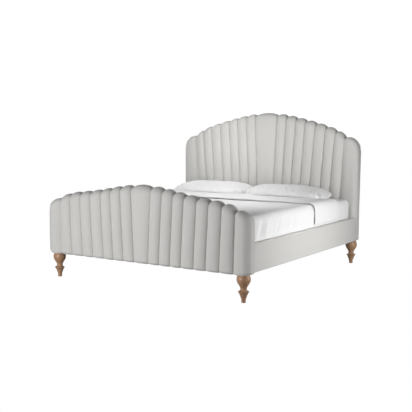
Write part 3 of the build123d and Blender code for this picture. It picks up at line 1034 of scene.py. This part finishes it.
@dataclass(frozen=True)
class Mattress:
    """The mattress in its ticking, and the fitted sheet pulled over it."""

    edge: float = 0.045
    mattress_round: float = 0.04
    sheet_round: float = 0.05
    inset: float = 0.0015
    hem: float = 0.002
    tufts: float = 24.0
    tuft_depth: float = 0.0015
    sheet_drop: float = 0.08
    head_pull: float = 0.45

    def core(self) -> None:
        """Make the mattress, a soft-edged block with tufted faces."""
        low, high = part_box("mattress")
        inset = Vector((self.inset,) * 3)
        skin = rounded_box(low + inset, high - inset,
                           (self.edge, self.edge, self.mattress_round), (60, 60, 20))
        piece = skin.build("mattress_ticking", Finish.MATTRESS_TICKING, "mattress")
        middle = (low.z + high.z) / 2

        def quilting(point: Vector, normal: Vector) -> float:
            """Work out the tufted relief of the faces and the swell of the border.

            Args:
                point: a place on the piece.
                normal: the piece's normal there.

            Returns:
                A height, in metres.
            """
            if abs(normal.z) < 0.8:
                return 0.001 * math.sin((point.z - middle) * 90)
            waves = math.sin(point.x * self.tufts) * math.sin(point.y * self.tufts)
            return self.tuft_depth * (abs(waves) - 1)

        ruffle(piece, quilting)
        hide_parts("mattress")
        report(piece)

    def sheet(self) -> None:
        """Make the fitted sheet, smooth on top, with small pulls at its corners."""
        low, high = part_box("fitted_sheet")
        skin = rounded_box(low - Vector((0, 0, self.sheet_drop)), high,
                           (self.edge, self.edge, self.sheet_round), (90, 90, 30))
        piece = skin.build("fitted_sheet_cotton", Finish.SHEET_COTTON, "mattress")
        shape = bmesh.new()
        shape.from_mesh(piece.data)
        hidden = [f for f in shape.faces if f.calc_center_median().z < low.z + self.hem]
        bmesh.ops.delete(shape, geom=hidden, context="FACES")
        shape.to_mesh(piece.data)
        shape.free()

        def pulls(point: Vector, normal: Vector) -> float:
            """Work out the height of the sheet's small creases.

            Args:
                point: a place on the piece.
                normal: the piece's normal there.

            Returns:
                A height, in metres.
            """
            side = 1 - abs(normal.z)
            head = max(0.0, 1 - abs(point.y - high.y) / self.head_pull)
            lines = lumps(point.x * 9, point.y * 30 + point.z * 12, point.z * 5)
            soft = lumps(point.x * 5 + 7, point.y * 6, point.z * 4)
            return 0.001 - 0.0018 * lines * side * (0.3 + head) - 0.002 * soft

        ruffle(piece, pulls)
        thicken(piece, SHEET_CLOTH)
        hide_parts("fitted_sheet")
        report(piece)

    def build(self) -> None:
        """Make both pieces."""
        self.core()
        self.sheet()


@dataclass(frozen=True)
class Fold:
    """A soft ridge beside a shallow dip, where the duvet's top was drawn together."""

    height: float
    place: float
    slant: float
    width: float
    middle: float
    spread: float

    def at(self, x: float, y: float) -> float:
        """Work out the fold's height.

        Args:
            x: the place across the bed.
            y: the place along it.

        Returns:
            A height, in metres.
        """
        offset = y - self.place - self.slant * x
        shape = bell(offset, self.width) - 0.6 * bell(offset + self.width, self.width)
        return self.height * shape * max(0.0, 1 - (x - self.middle) ** 2 / self.spread)


@dataclass(frozen=True)
class Layer:
    """One layer of the duvet, a closed quilt: its outline, its squares and its creases."""

    name: str
    half: float
    top: float
    hem: float
    y_low: float
    y_high: float
    thick: float
    rows: int
    crease: Callable[[float, float, float], float]
    columns: int = 190
    shoulder: float = 0.055
    tuck_x: float = 0.9775
    tuck_z: float = 0.468

    def section(self) -> Line:
        """Return the line of the upper face across the bed, in x and z, from hem to hem."""
        across, fall = self.shoulder * 1.3, self.shoulder * 1.25
        right = np.array([(self.tuck_x, self.hem), (self.tuck_x, self.tuck_z),
                          (self.half, self.tuck_z + 0.03), (self.half, self.top - fall),
                          *quarter((self.half, self.top), (across, fall), range(10, 91, 10))])
        line = np.concatenate([right, right[::-1] * [-1, 1]])[::-1]
        return resample(line, np.linspace(0, 1, self.columns))

    def build(self) -> bpy.types.Object:
        """Make the layer, with its edges pinched, and return it."""
        line = self.section()
        way = np.gradient(line, axis=0)
        way /= np.linalg.norm(way, axis=1)[:, None]
        out = np.stack([-way[:, 1], way[:, 0]], axis=1)
        upper = np.empty((self.rows, self.columns, 3))
        lower = np.empty((self.rows, self.columns, 3))
        for i, step in enumerate(np.linspace(0, 1, self.rows)):
            y = self.y_low + (self.y_high - self.y_low) * step
            pinch = roll(min(y - self.y_low, self.y_high - y), self.thick * 0.5)
            for j, (place, normal) in enumerate(zip(line, out)):
                rise = self.crease(place[0], y, place[1]) - pinch
                for side, reach in ((upper, rise), (lower, pinch - self.thick)):
                    side[i, j] = (place[0] + normal[0] * reach, y, place[1] + normal[1] * reach)
        skin = Skin()
        skin.grid(upper)
        skin.grid(lower, flip=True)
        skin.grid(np.stack([upper[0], lower[0]]), flip=True)
        skin.grid(np.stack([upper[-1], lower[-1]]))
        skin.grid(np.stack([upper[:, 0], lower[:, 0]]))
        skin.grid(np.stack([upper[:, -1], lower[:, -1]]), flip=True)
        piece = skin.build(self.name, Finish.DUVET_COTTON, "duvet")
        report(piece)
        return piece


@dataclass(frozen=True)
class Duvet:
    """The duvet, tucked down both sides, with its head end turned back as a cuff."""

    thickness: float = 0.02
    headroom: float = 0.012
    cuff_foot: float = 0.17
    cuff_rise: float = 0.014
    cuff_spread: float = 0.015
    cuff_thickness: float = 0.012
    pleats: float = 0.016
    long_crease: float = 0.005
    cross_crease: float = 0.0025
    cuff_press: float = 0.006
    free_reach: float = 0.03
    folds: tuple[Fold, ...] = (Fold(0.0065, 0.03, 0.05, 0.022, 0.25, 0.3),
                               Fold(0.005, -0.34, -0.13, 0.03, -0.3, 0.3),
                               Fold(0.004, -0.62, 0.2, 0.03, 0.35, 0.16))

    def build(self) -> None:
        """Make the duvet and its cuff."""
        low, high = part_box("duvet")
        top = high.z - self.headroom

        def untucked(z: float) -> float:
            """Return 0 where the cloth is held between mattress and rail, else up to 1."""
            return held((z - Layer.tuck_z) / self.free_reach)

        def top_creases(x: float, y: float, z: float) -> float:
            """Work out the long soft creases of the top and the pleats of the sides.

            Args:
                x: the place across the bed.
                y: the place along it.
                z: the height.

            Returns:
                The creases' height, in metres.
            """
            flat = held((z - top + 0.07) / 0.06)
            long = lumps(x * 1.3, y * 3.4, 2.0)
            cross = lumps(x * 4.5 + y * 1.5, y * 5.5, 5.0)
            drawn = sum(fold.at(x, y) for fold in self.folds)
            skew = y - (z - top) * 0.35
            pleat = (lumps(0.4 * x, skew * 11, 9.0 + x)
                     + 0.5 * lumps(0.4 * x, skew * 25, 3.0 + x))
            side = held((top - z) / 0.1) * (1 - flat)
            foot = 0.55 + 0.45 * held((0.1 - y) / 0.6)
            press = self.cuff_press * bell(y - self.cuff_foot, 0.016)
            return (flat * (self.long_crease * long + self.cross_crease * cross + drawn)
                    + (self.pleats * pleat * side * foot - press) * untucked(z))

        def cuff_creases(x: float, y: float, z: float) -> float:
            """Work out the small creases of the cuff and the roll of its turned edge.

            Args:
                x: the place across the bed.
                y: the place along it.
                z: the height.

            Returns:
                The creases' height, in metres.
            """
            soft = lumps(x * 2.2, y * 5, 12.0 + z)
            small = lumps(x * 9, y * 13, 4.0 + z * 6)
            turned = 0.004 * bell(y - self.cuff_foot - 0.018, 0.03)
            return (0.003 * soft + 0.0012 * small + turned) * untucked(z)

        cover = Layer("duvet_cover", high.x - 0.0005, top, low.z, low.y, high.y - 0.01,
                      self.thickness, 150, top_creases).build()
        Layer("duvet_cuff", high.x + self.cuff_spread, top + self.cuff_rise,
              Layer.tuck_z + 0.002, self.cuff_foot, high.y, self.cuff_thickness, 60,
              cuff_creases).build()
        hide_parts("duvet")


@dataclass(frozen=True)
class Pillow:
    """A plump pillow in a plain case, sewn flat, filled, and laid on the cuff."""

    node: str
    seed: float
    inner: float = 0.004
    outer_front: float = 0.93
    outer_rear: float = 0.80
    seam_height: float = 0.030
    headroom: float = 0.016
    inner_end: float = 4.0
    outer_end: float = 3.0
    corner: float = 7.0
    slant: float = 0.0
    margin_x: float = 0.045
    margin_y: float = 0.035
    ear: float = 0.085
    gap: float = 0.016
    belly: float = 0.075
    plumpness: float = 0.55
    front_fall: float = 0.022
    fall_reach: float = 0.16
    mattress_edge: float = 0.905
    edge_reach: float = 0.05
    edge_fall: float = 0.024
    pressure: float = 3.4
    across: int = 84
    deep: int = 46
    frames: int = 24

    def sewn_outer(self, v: np.ndarray) -> np.ndarray:
        """Return x of the flat case's outer seam at shares of the case's depth."""
        return self.outer_front + self.margin_x + (self.outer_rear - self.outer_front) * v

    def flat_case(self) -> bpy.types.Object:
        """Sew the empty case, two sheets that meet round their edge, and return it."""
        u = np.linspace(0, 1, self.across)[:, None]
        v = np.linspace(0, 1, self.deep)[None]
        low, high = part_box(self.node)
        front, rear = low.y - self.margin_y, high.y + self.margin_y
        y = front + (rear - front) * v + 0 * u
        width = self.sewn_outer(v) - self.inner + self.margin_x
        x = (self.inner - self.margin_x) + width * u
        away_x, away_y = 2 * u - 1, 2 * v - 1
        pull = self.ear * (np.abs(away_x) ** 5 * np.abs(away_y) ** 5)
        x = x - pull * away_x * 0.5
        y = y - pull * away_y * 0.5
        edge = np.minimum(np.minimum(u, 1 - u) * 2.0, np.minimum(v, 1 - v))
        open_up = np.clip(edge * 8, 0, 1)
        slack = np.empty_like(x)
        for index in np.ndindex(x.shape):
            slack[index] = 0.006 * lumps(x[index] * 9, y[index] * 9, self.seed) * open_up[index]
        skin = Skin()
        skin.grid(np.stack([x, y, self.gap * open_up + slack], axis=-1), flip=True)
        skin.grid(np.stack([x, y, -self.gap * open_up + slack], axis=-1))
        return skin.build(f"{self.node}_case", Finish.PILLOW_COTTON, self.node)

    def fill(self, piece: bpy.types.Object) -> None:
        """Blow the case up until its cloth is taut, then keep that shape.

        Args:
            piece: the flat case.
        """
        cloth = piece.modifiers.new("filling", "CLOTH")
        setting = cloth.settings
        setting.quality = 6
        setting.mass = 0.2
        setting.tension_stiffness = setting.compression_stiffness = 12
        setting.bending_stiffness = 0.15
        setting.use_pressure = True
        setting.uniform_pressure_force = self.pressure
        setting.effector_weights.gravity = 0.0
        cloth.collision_settings.use_collision = False
        cloth.point_cache.frame_end = self.frames
        scene = bpy.context.scene
        for step in range(1, self.frames + 1):
            scene.frame_set(step)
        apply_modifiers(piece)
        scene.frame_set(1)

    def puff(self, piece: bpy.types.Object) -> None:
        """Give the case a plain plump shape when there is no time to fill it.

        Args:
            piece: the flat case.
        """
        x, y, z = (np.array([v.co[k] for v in piece.data.vertices]) for k in range(3))
        du = np.abs(2 * (x - x.min()) / (x.max() - x.min()) - 1)
        dv = np.abs(2 * (y - y.min()) / (y.max() - y.min()) - 1)
        z = np.sign(z) * 0.1 * (np.clip(1 - du ** 3.2, 0, 1) * np.clip(1 - dv ** 2.4, 0, 1)) ** 0.5
        for vertex, height in zip(piece.data.vertices, z):
            vertex.co.z = height

    def lay(self, piece: bpy.types.Object, sewn: Line) -> None:
        """Fit the filled case to its place: flat below, higher at the headboard.

        Args:
            piece: the filled case.
            sewn: where each of its points lay when the case was flat.
        """
        low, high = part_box(self.node)
        side = 1 if low.x + high.x > 0 else -1
        height = np.array([v.co for v in piece.data.vertices])[:, 2]
        down = (sewn[:, 1] - sewn[:, 1].min()) / np.ptp(sewn[:, 1])
        width = self.sewn_outer(down) - self.inner + self.margin_x
        along = (sewn[:, 0] - self.inner + self.margin_x) / width
        a, b = np.clip(2 * along - 1, -1, 1), 2 * down - 1
        reach = np.maximum(np.maximum(np.abs(a), np.abs(b)), 1e-6)
        bend = (np.abs(a) ** self.corner + np.abs(b) ** self.corner + 1e-9) ** (1 / self.corner)
        rounded = reach / bend
        share = (1 + b * rounded) / 2
        outer = self.outer_front + (self.outer_rear - self.outer_front) * share
        x = self.inner + (1 + a * rounded) / 2 * (outer - self.inner)
        y = low.y + share * (high.y - low.y) - self.slant * along * (1 - share)
        filled = (height - height.min()) / np.ptp(height) * 2 - 1
        end = np.where(a > 0, self.outer_end, self.inner_end)
        plump = ((1 - np.abs(a) ** end) ** self.plumpness
                 * (1 - np.abs(b) ** 3.0) ** self.plumpness)
        rise = 0.2 * np.abs(filled) ** 0.8 * plump ** 0.3 + 0.8 * plump
        seam = low.z + 0.006 + self.seam_height * (0.20 + 0.80 * share) * (1 - np.abs(a) ** 4)
        crest = 0.80 + 0.20 * np.sin(np.pi * share ** 1.5)
        room = high.z - self.headroom - seam
        z = np.where(sewn[:, 2] > 0, seam + rise * room * crest, seam - rise * self.belly)
        near_front = np.clip((x - self.outer_front + self.fall_reach) / self.fall_reach, 0, 1)
        z -= self.front_fall * near_front * (1 - share)
        overhang = np.clip((x - self.mattress_edge) / self.edge_reach, 0, 1)
        z = np.maximum(z, low.z + 0.001 - self.edge_fall * overhang ** 2)
        for vertex, place in zip(piece.data.vertices, zip(x * side, y, z)):
            vertex.co = place
        if side < 0:
            piece.data.flip_normals()

    def build(self) -> None:
        """Make the pillow where its node lies."""
        piece = self.flat_case()
        sewn = np.array([v.co for v in piece.data.vertices])
        self.fill(piece)
        self.lay(piece, sewn)
        smooth = piece.modifiers.new("smooth", "SUBSURF")
        smooth.levels = smooth.render_levels = 1
        apply_modifiers(piece)

        def creases(point: Vector, normal: Vector) -> float:
            """Work out the case's soft dents, its creases and the puckers of its front seam.

            Args:
                point: a place on the piece.
                normal: the piece's normal there.

            Returns:
                A height, in metres.
            """
            x, y, z = point
            broad = lumps(x * 3.4 + self.seed, y * 5, z * 4)
            fine = lumps(x * 12 + self.seed, y * 20, z * 10)
            pucker = (0.4 - 2 * abs(lumps(x * 15 + self.seed, y * 8, 3.0))
                      + 0.5 * lumps(x * 40 + self.seed, y * 16, 7.0))
            front = held((0.80 - y) / 0.14)
            return max(normal.z + 0.4, 0.0) * (0.006 * broad + 0.0022 * fine
                                               + 0.007 * pucker * front)

        ruffle(piece, creases)
        piece.data.shade_smooth()
        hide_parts(self.node)
        report(piece)


# --- the pieces that keep their made shape ----------------------------------------------

def dress_structure() -> None:
    """Give every piece of the inner structure its finish, by the record's slots."""
    by_slot = {finish.slot: finish for finish in Finish}
    for part in frame["record"]["subparts"]:
        finish = by_slot[part["material_slot"]]
        for slot in frame["nodes"][part["node"]].material_slots:
            slot.material = finish.made()


# --- the studio -----------------------------------------------------------------------

@dataclass(frozen=True)
class Lamp:
    """A soft lamp: where it hangs, what it is aimed at, its width, power and cone.

    The cone is in degrees, and a lamp with none is an open soft box.
    """

    name: str
    place: Point3
    aim: Point3
    width: float
    power: float
    cone: float | None = None

    def hang(self) -> None:
        """Hang the lamp."""
        data = bpy.data.lights.new(self.name, "SPOT" if self.cone else "AREA")
        data.energy = self.power
        if self.cone:
            data.shadow_soft_size = self.width / 2
            data.spot_size = math.radians(self.cone)
            data.spot_blend = 1.0
        else:
            data.shape = "SQUARE"
            data.size = self.width
        lamp = bpy.data.objects.new(self.name, data)
        lamp.location = self.place
        way = Vector(self.aim) - Vector(self.place)
        lamp.rotation_euler = way.to_track_quat("-Z", "Y").to_euler()
        bpy.context.scene.collection.objects.link(lamp)


@dataclass(frozen=True)
class Studio:
    """A white floor, soft lights and the camera."""

    camera_place: Point3 = (4.014, -6.310, 1.389)
    yaw: float = math.radians(33.78)
    pitch: float = math.radians(5.96)
    lens: float = 69.1
    shift: float = 0.0284
    far: float = 200.0
    floor_grey: float = 0.36
    backdrop: float = 1.05
    horizon: float = 0.17
    zenith: float = 0.10
    lamps: tuple[Lamp, ...] = (
        Lamp("front_box", (-0.6, -4.5, 0.8), (0.0, -1.1, 0.6), 1.1, 93),
        Lamp("side_lamp", (3.0, -0.02, 0.55), (1.0, -0.10, 0.42), 1.0, 163, 116),
        Lamp("head_lamp", (0.3, -2.2, 3.8), (0.42, 1.05, 1.65), 0.9, 222, 52),
        Lamp("pillow_lamp", (-0.75, -0.3, 3.5), (-0.55, 0.7, 0.75), 0.8, 192, 40),
        Lamp("bed_lamp", (0.55, 0.1, 3.4), (0.3, -0.15, 0.66), 0.9, 225, 42),
        Lamp("back_box", (-1.5, 5.5, 1.6), (0.0, 1.1, 0.8), 2.5, 150),
        Lamp("left_box", (-4.2, 3.2, 1.4), (-1.0, 0.3, 0.6), 1.8, 110),
    )

    @staticmethod
    def seen_or_lit(tree: Tree, lit: bpy.types.NodeSocket, seen: bpy.types.NodeSocket
                    ) -> bpy.types.NodeSocket:
        """Blend two shaders by who looks.

        Args:
            tree: the tree that they are in.
            lit: what the other surfaces get.
            seen: what the camera gets.

        Returns:
            The blended shader.
        """
        camera = tree.node("ShaderNodeLightPath").outputs["Is Camera Ray"]
        return tree.node("ShaderNodeMixShader", {}, {0: camera, 1: lit, 2: seen}).outputs[0]

    def floor(self) -> None:
        """Lay a floor under the bed: pale where it lights, white where it is seen."""
        bpy.ops.mesh.primitive_plane_add(size=self.far)
        floor = bpy.context.object
        floor.name = "studio_floor"
        shader = Shader("studio_white")
        shader.set(Base_Color=(self.floor_grey,) * 3, Roughness=0.9)
        glow = shader.node("ShaderNodeEmission", {}, {"Color": (1.0, 1.0, 1.0), "Strength": 1.0})
        blend = self.seen_or_lit(shader, shader.surface.outputs[0], glow.outputs[0])
        shader.feed(shader.end.inputs["Surface"], blend)
        floor.data.materials.append(shader.material)

    def sky(self) -> None:
        """Set a white surround, which lights more from the sides than from above."""
        world = bpy.data.worlds.new("studio_surround")
        world.use_nodes = True
        tree = Tree(world.node_tree)
        way = tree.node("ShaderNodeTexCoord").outputs["Generated"]
        split = tree.node("ShaderNodeSeparateXYZ", {}, {0: way})
        fade = tree.node("ShaderNodeMapRange", {}, {
            0: split.outputs[2], "To Min": self.horizon, "To Max": self.zenith})
        lit = tree.node("ShaderNodeBackground", {}, {"Strength": fade.outputs[0]})
        seen = tree.node("ShaderNodeBackground", {}, {
            "Color": (1.0, 1.0, 1.0), "Strength": self.backdrop})
        blend = self.seen_or_lit(tree, lit.outputs[0], seen.outputs[0])
        tree.node("ShaderNodeOutputWorld", {}, {0: blend})
        bpy.context.scene.world = world

    def camera(self) -> None:
        """Set the camera."""
        data = bpy.data.cameras.new("camera")
        data.lens = self.lens
        data.sensor_width = 36.0
        data.shift_x = self.shift
        data.clip_end = self.far
        camera = bpy.data.objects.new("camera", data)
        camera.location = self.camera_place
        camera.rotation_euler = Euler((math.pi / 2 - self.pitch, 0, self.yaw))
        bpy.context.scene.collection.objects.link(camera)
        bpy.context.scene.camera = camera

    def build(self) -> None:
        """Set up the studio."""
        self.camera()
        self.floor()
        self.sky()
        for lamp in self.lamps:
            lamp.hang()
        view = bpy.context.scene.view_settings
        view.view_transform = "Standard"
        view.look = "None"
        LOG.info("studio ready")


# --- the bed --------------------------------------------------------------------------

HEADBOARD = Board(
    name="headboard",
    lower_seams=(0.076, 0.170, 0.263, 0.364, 0.470, 0.592, 0.692, 0.815),
    upper_seams=(0.131, 0.239, 0.350, 0.454, 0.567, 0.680, 0.786, 0.882),
    arch=((0.0, 1.476), (0.350, 1.431), (0.680, 1.345), (0.882, 1.245)),
    corner=((0.905, 1.2525), (0.945, 1.247), (0.985, 1.2225), (1.0165, 1.180), (1.0325, 1.115)),
    bulge=0.027, crown=0.022, trim=0.010,
)
FOOTBOARD = Board(
    name="footboard",
    lower_seams=(0.075, 0.186, 0.296, 0.404, 0.528, 0.645, 0.773, 0.901),
    upper_seams=(0.104, 0.220, 0.331, 0.438, 0.559, 0.673, 0.795, 0.913),
    arch=((0.0, 0.861), (0.331, 0.824), (0.673, 0.774), (0.913, 0.714)),
    corner=((0.932, 0.7185), (0.965, 0.7155), (1.003, 0.701), (1.036, 0.672), (1.0495, 0.622)),
    bulge=0.032, crown=0.019, edge_radius=0.036,
)
PILLOWS = (
    Pillow("pillow_left", 1.7, inner=0.034, inner_end=3.4, outer_end=7.0),
    Pillow("pillow_right", 8.4, inner=-0.028, inner_end=5.0, outer_end=2.6, slant=0.05),
)


def main() -> None:
    """Build the bed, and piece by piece."""
    logging.basicConfig(level=logging.INFO, format="%(name)s: %(message)s")
    Studio().build()
    dress_structure()
    HEADBOARD.build()
    FOOTBOARD.build()
    for side in (-1, 1):
        RailCover(side).build()
    for node in ("front_left_foot", "front_right_foot", "rear_left_foot", "rear_right_foot"):
        TurnedFoot(node).build()
    Mattress().build()
    Duvet().build()
    for pillow in PILLOWS:
        pillow.build()


if __name__ == "__main__":
    main()
